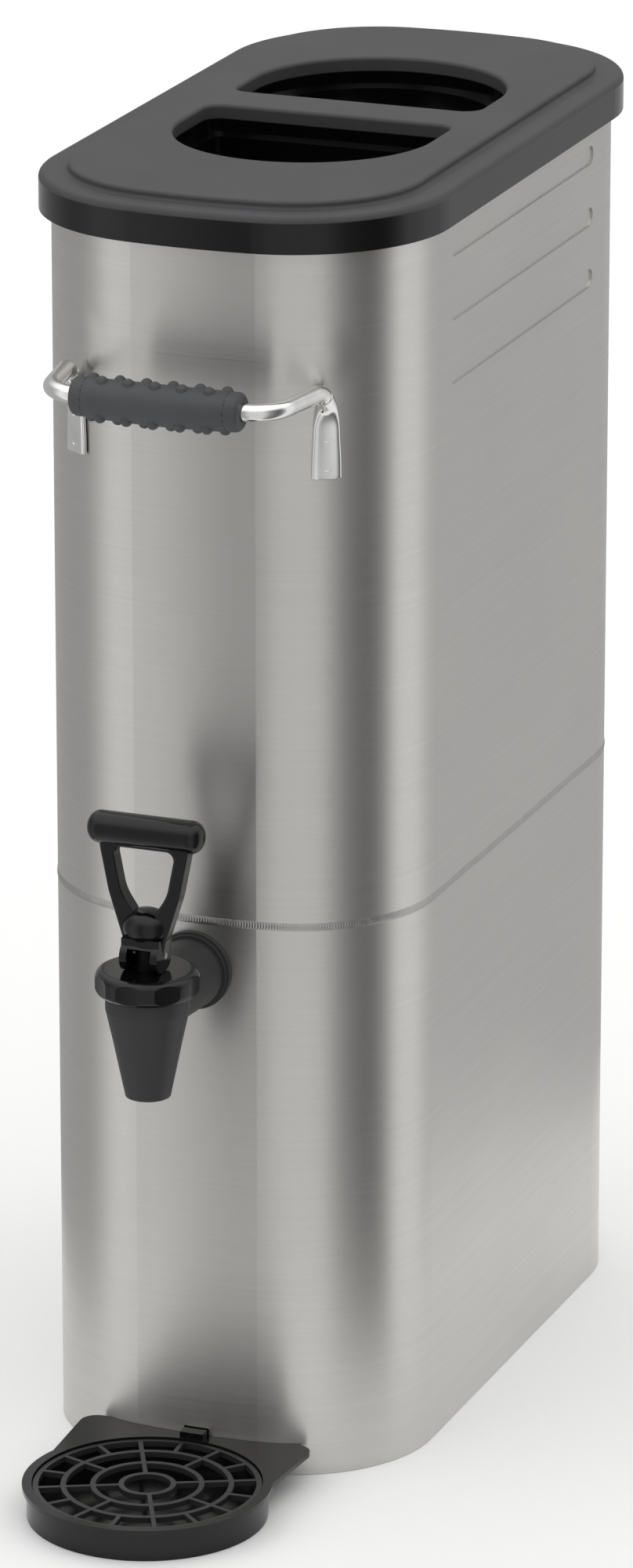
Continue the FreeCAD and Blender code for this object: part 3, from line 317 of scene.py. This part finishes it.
def plainSteel(name, colour, roughness, speckle):
    material, tree, shader = newMaterial(name, Metallic=1.0)
    cloud = noiseAt(tree, grainPlace(tree), speckle, 4, 0.6)
    darker = tuple(c * 0.86 for c in colour)
    tree.links.new(colourBetween(tree, spreadTo(tree, cloud, 0, 1), darker, colour),
                   shader.inputs["Base Color"])
    tree.links.new(spreadTo(tree, cloud, *roughness), shader.inputs["Roughness"])
    addBump(tree, shader, cloud, 0.00002)
    return material


def mouldedPlastic(name, colour, roughness, grain, depth, blush, gloss):
    material, tree, shader = newMaterial(name, Specular_IOR_Level=gloss)
    fine = noiseAt(tree, grainPlace(tree), grain, 3, 0.6)
    broad = noiseAt(tree, grainPlace(tree, offset=(0.3, 0.1, 0.2)), 28, 3, 0.5)
    lighter = tuple(c * blush for c in colour)
    tree.links.new(colourBetween(tree, spreadTo(tree, broad, 0, 1), colour, lighter),
                   shader.inputs["Base Color"])
    tree.links.new(spreadTo(tree, broad, *roughness), shader.inputs["Roughness"])
    addBump(tree, shader, fine, depth)
    return material


lidFinish = {
    "topColour": (0.047, 0.047, 0.050),
    "topRoughness": 0.56,
    "bandColour": (0.002, 0.002, 0.002),
    "bandRoughness": 0.13,
    "bandTop": 577.2,               # height where the fine matt texture stops, in mm
    "bandBlur": 0.3,
    "texture": 1900,
    "textureDepth": 0.00006,        # metres
}


def lidPlastic():
    material, tree, shader = newMaterial("lidPlastic", Specular_IOR_Level=0.38)
    where = tree.nodes.new("ShaderNodeTexCoord")
    split = tree.nodes.new("ShaderNodeSeparateXYZ")
    tree.links.new(where.outputs["Object"], split.inputs[0])
    edge = lidFinish["bandTop"] * mm
    blur = lidFinish["bandBlur"] * mm
    matt = spreadTo(tree, split.outputs["Z"], 0, 1, edge - blur, edge + blur)
    broad = noiseAt(tree, grainPlace(tree), 22, 3, 0.55)
    top = colourBetween(tree, spreadTo(tree, broad, 0, 1),
                        tuple(c * 0.93 for c in lidFinish["topColour"]),
                        tuple(c * 1.08 for c in lidFinish["topColour"]))
    colour = tree.nodes.new("ShaderNodeMix")
    colour.data_type = "RGBA"
    colour.inputs["A"].default_value = lidFinish["bandColour"] + (1,)
    tree.links.new(top, colour.inputs["B"])
    tree.links.new(matt, colour.inputs["Factor"])
    tree.links.new(colour.outputs["Result"], shader.inputs["Base Color"])
    tree.links.new(spreadTo(tree, matt, lidFinish["bandRoughness"], lidFinish["topRoughness"],
                            0, 1), shader.inputs["Roughness"])
    fine = noiseAt(tree, grainPlace(tree), lidFinish["texture"], 2, 0.6)
    height = mathNode(tree, "MULTIPLY")
    tree.links.new(fine, height.inputs[0])
    tree.links.new(matt, height.inputs[1])
    addBump(tree, shader, height.outputs[0], lidFinish["textureDepth"])
    return material


def floorPaper():
    material, tree, shader = newMaterial("floorPaper", Roughness=0.9, Specular_IOR_Level=0.1)
    fibre = noiseAt(tree, grainPlace(tree), 240, 3, 0.6)
    tone = room["floorTone"]
    tree.links.new(colourBetween(tree, spreadTo(tree, fibre, 0, 1), tuple(c * 0.99 for c in tone),
                                 tone), shader.inputs["Base Color"])
    return material


# Each smooth metal: colour, roughness from and to, and how fine its cloudiness is.
smoothMetals = {
    "weldSteel": ((0.50, 0.49, 0.475), (0.30, 0.42), 350),
    "polishedSteel": ((0.86, 0.855, 0.84), (0.05, 0.10), 60),
    "springSteel": ((0.65, 0.65, 0.65), (0.2, 0.3), 200),
}

# Each plastic or rubber: colour, roughness from and to, grain, bump depth in metres,
# how much lighter its blush is, and its gloss.
plastics = {
    "gripRubber": ((0.046, 0.048, 0.052), (0.44, 0.58), 900, 0.00004, 1.25, 0.4),
    "tapPlastic": ((0.020, 0.020, 0.020), (0.42, 0.60), 700, 0.00006, 1.25, 0.4),
    "glossPlastic": ((0.0025, 0.0025, 0.003), (0.09, 0.14), 300, 0.000008, 1.25, 0.35),
    "stemPlastic": ((0.003, 0.003, 0.003), (0.4, 0.55), 500, 0.00003, 1.25, 0.15),
    "silicone": ((0.72, 0.71, 0.67), (0.4, 0.55), 500, 0.00003, 1.08, 0.5),
    "washerRubber": ((0.02, 0.02, 0.021), (0.5, 0.65), 700, 0.00004, 1.25, 0.5),
    "trayPlastic": ((0.003, 0.003, 0.003), (0.15, 0.23), 260, 0.00001, 1.25, 0.38),
    "gratePlastic": ((0.020, 0.021, 0.021), (0.34, 0.46), 600, 0.00003, 1.25, 0.4),
}


def makeMaterials():
    made = {
        "shellSteel": brushedSteel("shellSteel", **shellFinish),
        "tankSteel": brushedSteel("tankSteel", **tankFinish),
        "lidPlastic": lidPlastic(),
        "floorPaper": floorPaper(),
    }
    for name, values in smoothMetals.items():
        made[name] = plainSteel(name, *values)
    for name, values in plastics.items():
        made[name] = mouldedPlastic(name, *values)
    print("finishes mixed:", len(made))
    return made


finishOfNode = {
    "upper_shell": "shellSteel", "lower_shell": "shellSteel", "shell_weld": "weldSteel",
    "tank_floor": "tankSteel", "floor_weld": "weldSteel", "base_plate": "tankSteel",
    "lid": "lidPlastic", "front_handle_rod": "polishedSteel", "rear_handle_rod": "polishedSteel",
    "front_handle_grip": "gripRubber", "rear_handle_grip": "gripRubber",
    "tap_body": "tapPlastic", "tap_bonnet": "glossPlastic", "valve_stem": "stemPlastic",
    "seat_cup": "silicone", "tap_spring": "springSteel", "outer_washer": "washerRubber",
    "inner_washer": "washerRubber", "shank_nut": "tapPlastic", "tap_lever": "glossPlastic",
    "lever_pin": "springSteel", "drip_tray": "trayPlastic", "drip_grate": "gratePlastic",
}


def dressFrame():
    for node, finish in finishOfNode.items():
        slots = nodes[node].data.materials
        slots.clear()
        slots.append(materials[finish])
    print("frame dressed")


def newPiece(name, shape, finish, body, creaseAngle=40):
    # Turns built faces into a piece that rides on a body, with sharp creases kept sharp.
    mesh = bpy.data.meshes.new(name)
    bmesh.ops.recalc_face_normals(shape, faces=shape.faces[:])
    for edge in shape.edges:
        if len(edge.link_faces) == 2:
            edge.smooth = edge.calc_face_angle(0) < math.radians(creaseAngle)
    for face in shape.faces:
        face.smooth = True
    shape.to_mesh(mesh)
    shape.free()
    piece = bpy.data.objects.new(name, mesh)
    bpy.context.scene.collection.objects.link(piece)
    mesh.materials.append(materials[finish])
    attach(piece, body)
    return piece


def bridge(shape, rings, capStart=False, capEnd=False):
    # Joins neighbouring rings of points with quads, and shuts the ends if asked.
    made = [[shape.verts.new(point) for point in ring] for ring in rings]
    count = len(made[0])
    for low, high in zip(made, made[1:]):
        for n in range(count):
            after = (n + 1) % count
            shape.faces.new((low[n], low[after], high[after], high[n]))
    if capStart:
        shape.faces.new(made[0][::-1])
    if capEnd:
        shape.faces.new(made[-1])


def flipped(point, flip, mirror=1):
    # The rear handle is the front one turned half round; mirror makes the left foot.
    return Vector((mirror * flip * point.x, flip * point.y, point.z)) * mm


def tubeRing(centre, first, second, thick, count):
    # A round ring of points about a centre, in the plane of two directions.
    ring = []
    for n in range(count):
        angle = 2 * math.pi * n / count
        ring.append(centre + first * (thick * math.cos(angle)) + second * (thick * math.sin(angle)))
    return ring


def roundedPath(corners, radii, step):
    # Points along a bent rod: straight runs, with an arc of the given radius at each bend.
    corners = [Vector(corner) for corner in corners]
    path = [corners[0]]
    for before, corner, after, radius in zip(corners, corners[1:], corners[2:], radii):
        back = (before - corner).normalized()
        ahead = (after - corner).normalized()
        half = back.angle(ahead) / 2
        reach = radius / math.tan(half)
        centre = corner + (back + ahead).normalized() * (radius / math.sin(half))
        first = corner + back * reach
        last = corner + ahead * reach
        runTo(path, first, step)
        sweep = math.pi - 2 * half
        turns = max(4, int(radius * sweep / step))
        start = first - centre
        axis = start.cross(last - centre).normalized()
        for n in range(1, turns + 1):
            path.append(centre + Matrix.Rotation(sweep * n / turns, 3, axis) @ start)
    runTo(path, corners[-1], step)
    return path


def runTo(path, target, step):
    start = path[-1].copy()
    pieces = max(1, int((target - start).length / step))
    for n in range(1, pieces + 1):
        path.append(start.lerp(target, n / pieces))


def framesAlong(path, firstSide):
    # Each point with its side and its rise, carried along the path without twist.
    side = Vector(firstSide)
    frames = []
    for n, point in enumerate(path):
        ahead = path[min(n + 1, len(path) - 1)] - path[max(n - 1, 0)]
        along = ahead.normalized()
        side = (side - along * side.dot(along)).normalized()
        frames.append((point, side, along.cross(side)))
    return frames


def smoothStep(value, low, high):
    share = min(1, max(0, (value - low) / (high - low)))
    return share * share * (3 - 2 * share)


tank = {
    "width": 175,
    "depth": 350,
    "corner": 65.8,
    "bow": 267,          # radius of the slightly domed front and back
    "seam": 259,         # height of the weld round the tank
}


def outlineCentres():
    cornerX = tank["width"] / 2 - tank["corner"]
    bowY = tank["bow"] - tank["depth"] / 2
    cornerY = bowY - math.sqrt((tank["bow"] - tank["corner"]) ** 2 - cornerX ** 2)
    return cornerX, cornerY, bowY


def tankOutline(step):
    # Points and outward directions all round the tank, in mm, from the back's middle.
    cornerX, cornerY, bowY = outlineCentres()
    lean = math.asin(cornerX / (tank["bow"] - tank["corner"]))
    quarter = math.pi / 2
    walk = []

    def addArc(centre, radius, start, end):
        count = max(2, int(radius * abs(end - start) / step))
        for n in range(count):
            turn = start + (end - start) * n / count
            way = Vector((math.cos(turn), math.sin(turn), 0))
            walk.append((Vector(centre + (0,)) + way * radius, way))

    for flip in (1, -1):
        base = 0 if flip == 1 else math.pi
        addArc((0, flip * bowY), tank["bow"], base - quarter - lean,
               base - quarter + lean)
        addArc((flip * cornerX, flip * cornerY), tank["corner"], base - quarter + lean, base)
        side = Vector((flip * tank["width"] / 2, flip * cornerY, 0))
        run = Vector((0, -2 * flip * cornerY, 0))
        count = int(run.length / step)
        for n in range(count):
            walk.append((side + run * (n / count), Vector((flip, 0, 0))))
        addArc((flip * cornerX, -flip * cornerY), tank["corner"], base,
               base + quarter - lean)
    return walk


weld = {
    "halfHeight": 1.95,
    "proud": 0.30,
    "sunk": 0.06,
    "rippleDepth": 0.15,
    "ripplePitch": 1.25,
    "bow": 1.1,          # how far each ripple's middle runs ahead of its ends
    "roughest": 34,      # place across the front where the ripples stand out most
    "root": 1.02,        # how far the bead reaches into the wall
    "rootHalf": 1.5,
}


def makeSeamWeld():
    # A ground bead with overlapping ripples, strongest on the front.
    walk = tankOutline(0.3)
    levels = [-1, -0.72, -0.38, 0, 0.38, 0.72, 1]
    rings = []
    travelled = 0
    before = walk[0][0]
    for point, way in walk:
        travelled += (point - before).length
        before = point
        strong = 0.25 + 0.75 * smoothStep(-point.y, 120, 165) * (
            0.35 + 0.65 * smoothStep(abs(point.x - weld["roughest"]), 34, 10))
        wander = 0.12 * math.sin(travelled / 23) + 0.08 * math.sin(travelled / 7.3)
        ring = []
        for level in levels:
            shape = 1 - level * level
            phase = (travelled - weld["bow"] * shape) / weld["ripplePitch"]
            uneven = 0.75 + 0.25 * math.sin(travelled / 5.1 + 2 * math.sin(travelled / 31))
            ripple = weld["rippleDepth"] * strong * uneven * math.sin(2 * math.pi * phase)
            out = weld["proud"] * shape ** 0.8 + ripple * shape - weld["sunk"]
            height = tank["seam"] + level * weld["halfHeight"] + wander
            spot = point + way * out
            ring.append(Vector((spot.x, spot.y, height)) * mm)
        for level in (1, -1):
            spot = point - way * weld["root"]
            ring.append(Vector((spot.x, spot.y, tank["seam"] + level * weld["rootHalf"])) * mm)
        rings.append(ring)
    rings.append(rings[0])
    shape = bmesh.new()
    bridge(shape, rings)
    bmesh.ops.remove_doubles(shape, verts=shape.verts[:], dist=1e-7)
    bead = newPiece("seamWeldBead", shape, "weldSteel", "dispenser",
                    creaseAngle=60)
    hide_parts("shell_weld")
    print("seam weld laid")


handle = {
    "height": 503.5,
    "reach": 38,
    "rod": 7.8,
    "span": 104,
    "corner": 15.5,      # bend radius at each end of the bar
    "drop": 10.5,        # bend radius down into each foot
    "tabAngle": 33,      # degrees round the tank's corner from straight ahead
    "tabWidth": 13,
    "tabThickness": 2.9,
    "tabEnd": 463.5,
    "tabDish": 0.55,     # how far the foot's face is hollowed
    "spotMarks": (468.5, 481.5),
    "spotRadius": 1.9,
    "bow": 2.2,          # how far the bar's middle stands forward of its corners
    "straight": 30,      # half of the run that the sleeve covers
}

grip = {
    "length": 78,
    "radius": 9.1,
    "endRadius": 8.6,
    "endRound": 2.6,
    "bump": 2.7,
    "bumpSink": 0.9,
    "pitch": 12.3,
    "rows": [(76, 5), (115, 6), (-56, 5), (-95, 6)],     # degrees round, and how many
    "seam": 5,           # degrees round to the mould line
    "seamProud": 0.16,
    "nickFromEnd": 6.2,
    "nickDepth": 0.28,
}


def barPoint(x):
    # The bar runs straight across, bowed a little forward and down in its middle.
    share = 1 - (x / (handle["span"] / 2)) ** 2
    lead = handle["bow"] * share
    return Vector((x, -tank["depth"] / 2 - handle["reach"] + 1.2 - lead,
                   handle["height"] - 0.25 * lead))


def footPlace():
    # Where the front right foot meets the wall, and its outward and sideways directions.
    cornerX, cornerY, _ = outlineCentres()
    turn = math.radians(handle["tabAngle"])
    out = Vector((math.sin(turn), -math.cos(turn), 0))
    across = Vector((math.cos(turn), math.sin(turn), 0))
    return Vector((cornerX, cornerY, 0)), out, across


def halfRodRings():
    # Half of a handle: the flattened foot, two bends and half of the bar.
    centreOfTurn, out, across = footPlace()
    radius = handle["rod"] / 2
    wall = centreOfTurn + out * tank["corner"]
    foot = wall + out * radius
    top = handle["height"]
    corner = barPoint(handle["span"] / 2)
    corners = [Vector((foot.x, foot.y, handle["tabEnd"])), Vector((foot.x, foot.y, top)),
               Vector((corner.x, corner.y, top)), barPoint(handle["straight"])]
    path = roundedPath(corners, [handle["drop"], handle["corner"]], 1.1)
    for n in range(1, 16):
        path.append(barPoint(handle["straight"] - 2 * n))
    rings = []
    count = 28
    for point, side, rise in framesAlong(path, across):
        flat = 1 - smoothStep(point.z, top - 18, top - 3) if point.z < top - 3 else 0
        shoulder = smoothStep(point.z, handle["tabEnd"] + 3, handle["tabEnd"] + 26)
        wide = handle["tabWidth"] / 2 * (1 - 0.13 * shoulder)
        halfWide = radius + (wide - radius) * flat
        halfThick = radius + (handle["tabThickness"] / 2 - radius) * flat
        centre = point - out * ((radius - halfThick) if flat > 0 else 0)
        outside = rise if rise.dot(out) > 0 or flat == 0 else -rise
        ring = []
        for n in range(count):
            angle = 2 * math.pi * n / count
            cosine = math.cos(angle)
            sine = math.sin(angle)
            square = 1 - 0.42 * flat
            sideways = math.copysign(abs(cosine) ** square, cosine)
            outward = math.copysign(abs(sine) ** square, sine)
            sag = flat * (sideways * halfWide) ** 2 / (2 * tank["corner"])
            hollow = max(0, 1 - (sideways / 0.8) ** 2) if outward > 0 else 0
            dish = flat * handle["tabDish"] * hollow
            spot = centre + side * (sideways * halfWide)
            spot += outside * (outward * halfThick - dish - sag)
            ring.append(spot)
        rings.append(ring)
    first = rings[0]
    middle = sum(first, Vector()) / len(first)
    tip = [point.lerp(middle, 0.12) + Vector((0, 0, -0.35)) for point in first]
    return [tip] + rings


def makeRod(name, flip, node):
    shape = bmesh.new()
    half = halfRodRings()
    for mirror in (1, -1):
        rings = [[flipped(point, flip, mirror) for point in ring] for ring in half]
        bridge(shape, rings, capStart=True)
    bmesh.ops.remove_doubles(shape, verts=shape.verts[:], dist=2e-6)
    addSpotMarks(shape, flip)
    rod = newPiece(name, shape, "polishedSteel", "dispenser", creaseAngle=38)
    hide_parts(node)


def addSpotMarks(shape, flip):
    # Two faint crescents on each foot, left by the welding tip.
    centreOfTurn, out, across = footPlace()
    face = centreOfTurn + out * (
        tank["corner"] + handle["tabThickness"] - handle["tabDish"] + 0.02)
    for mirror in (1, -1):
        for height in handle["spotMarks"]:
            rings = []
            for n in range(13):
                angle = math.radians(-150 + 150 * n / 12)
                thick = 0.26 * math.sin(math.pi * (n + 0.4) / 12.8) + 0.02
                way = across * math.cos(angle) + Vector((0, 0, math.sin(angle)))
                spot = face + Vector((0, 0, height)) + way * handle["spotRadius"]
                ring = tubeRing(spot, way, out, thick, 6)
                rings.append([flipped(point, flip, mirror) for point in ring])
            bridge(shape, rings, capStart=True, capEnd=True)


def gripRadius(x):
    half = grip["length"] / 2
    share = 1 - (x / half) ** 2
    radius = grip["endRadius"] + (grip["radius"] - grip["endRadius"]) * share
    edge = half - abs(x)
    if edge < grip["endRound"]:
        short = grip["endRound"] - edge
        radius -= grip["endRound"] - math.sqrt(max(0, grip["endRound"] ** 2 - short ** 2))
    return radius


def gripPlace(x, angle, lift=0.0):
    turn = math.radians(angle)
    reach = gripRadius(x) + lift
    return barPoint(x) + Vector((0, -math.cos(turn) * reach, math.sin(turn) * reach))


def makeGrip(name, flip, node):
    # The soft sleeve: rounded ends, a mould line, a pinch near each end and rows of bumps.
    shape = bmesh.new()
    half = grip["length"] / 2
    endRound = grip["endRound"]
    stations = [-half + endRound * (1 - math.cos(math.pi / 2 * n / 6)) for n in range(7)]
    stations += [-half + endRound + (2 * half - 2 * endRound) * n / 40 for n in range(1, 40)]
    stations += [-x for x in stations[:7][::-1]]
    count = 72
    rings = []
    for x in stations:
        ring = []
        for n in range(count):
            angle = 360 * n / count
            away = abs((angle - grip["seam"] + 180) % 360 - 180)
            ridge = grip["seamProud"] * max(0, 1 - away / 5) if abs(x) < half - 7 else 0
            fromNick = half - abs(x) - grip["nickFromEnd"]
            pinch = -grip["nickDepth"] * math.exp(-(fromNick / 0.7) ** 2)
            ring.append(flipped(gripPlace(x, angle, ridge + pinch), flip))
        rings.append(ring)
    hole = handle["rod"] / 2 + 0.15
    for end in (0, -1):
        inner = []
        for n in range(count):
            turn = math.radians(360 * n / count)
            spot = barPoint(stations[end]) + Vector((0, -math.cos(turn) * hole,
                                                     math.sin(turn) * hole))
            inner.append(flipped(spot, flip))
        rings = [inner] + rings if end == 0 else rings + [inner]
    bridge(shape, rings)
    for angle, number in grip["rows"]:
        for n in range(number):
            x = (n - (number - 1) / 2) * grip["pitch"]
            addBumpDome(shape, x, angle, flip)
    sleeve = newPiece(name, shape, "gripRubber", "dispenser", creaseAngle=50)
    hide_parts(node)


def addBumpDome(shape, x, angle, flip):
    # A round pimple, with a small skirt where the mould blends it into the sleeve.
    turn = math.radians(angle)
    out = Vector((0, -math.cos(turn), math.sin(turn)))
    side = Vector((1, 0, 0))
    other = out.cross(side)
    base = gripPlace(x, angle, -grip["bumpSink"] + 0.35)
    rings = []
    profile = [(1.32, -0.55), (1.14, -0.12), (1.0, 0.12), (0.93, 0.38), (0.78, 0.62),
               (0.55, 0.83), (0.28, 0.96)]
    for reach, rise in profile:
        ring = []
        for n in range(20):
            around = 2 * math.pi * n / 20
            spot = base + out * (rise * grip["bump"] - 0.1)
            spot += (side * math.cos(around) + other * math.sin(around)) * reach * grip["bump"]
            ring.append(flipped(spot, flip))
        rings.append(ring)
    bridge(shape, rings, capEnd=True)


def makeGripNicks(name, flip):
    # Broken dark nicks round the sleeve near each end, where the moulding was trimmed.
    shape = bmesh.new()
    half = grip["length"] / 2
    for end in (-1, 1):
        x = end * (half - grip["nickFromEnd"])
        angle = 0
        number = 0
        while angle < 352:
            number += 1
            run = 9 + 5 * math.sin(number * 2.3)
            wobble = 0.35 * math.sin(number * 4.1 + end)
            rings = []
            for n in range(5):
                place = angle + run * n / 4
                thick = 0.20 * math.sin(math.pi * (n + 0.5) / 5) + 0.03
                centre = gripPlace(x + wobble * n / 4, place, -0.26)
                turn = math.radians(place)
                out = Vector((0, -math.cos(turn), math.sin(turn)))
                ring = tubeRing(centre, Vector((1, 0, 0)), out, thick, 6)
                rings.append([flipped(point, flip) for point in ring])
            bridge(shape, rings, capStart=True, capEnd=True)
            angle += run + 5 + 3 * math.sin(number * 1.7)
    newPiece(name, shape, "washerRubber", "dispenser")


def makeHandles():
    for place, flip in (("front", 1), ("rear", -1)):
        makeRod(place + "HandleRod", flip, place + "_handle_rod")
        makeGrip(place + "HandleGrip", flip, place + "_handle_grip")
        makeGripNicks(place + "GripNicks", flip)
    print("handles bent and sleeved")


spring = {
    "low": 226.75,       # heights of the wire's middle at the coil's ends
    "high": 250.3,
    "diameter": 15.4,
    "wire": 1.1,
    "turns": 5,
    "tapReach": 54,      # the tap's axis stands this far in front of the tank
    "keep": 0.8,         # its share of length with the lever fully tipped
}


def makeSpring():
    # The closing coil rides up with the stem.
    axis = Vector((0, -tank["depth"] / 2 - spring["tapReach"], 0))
    shape = bmesh.new()
    rings = []
    steps = spring["turns"] * 36
    for n in range(steps + 1):
        turn = math.radians(10 * n)
        out = Vector((math.cos(turn), math.sin(turn), 0))
        rise = spring["low"] + (spring["high"] - spring["low"]) * n / steps
        spot = axis + out * (spring["diameter"] / 2) + Vector((0, 0, rise))
        ring = tubeRing(spot, out, Vector((0, 0, 1)), spring["wire"] / 2, 10)
        rings.append([point * mm for point in ring])
    bridge(shape, rings, capStart=True, capEnd=True)
    coil = newPiece("closingSpring", shape, "springSteel", "stem",
                    creaseAngle=50)
    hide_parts("tap_spring")
    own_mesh(coil)
    print("closing spring made")


setUpCamera()
setUpRoom()
materials = makeMaterials()
layFloor()
dressFrame()
makeSeamWeld()
makeHandles()
makeSpring()
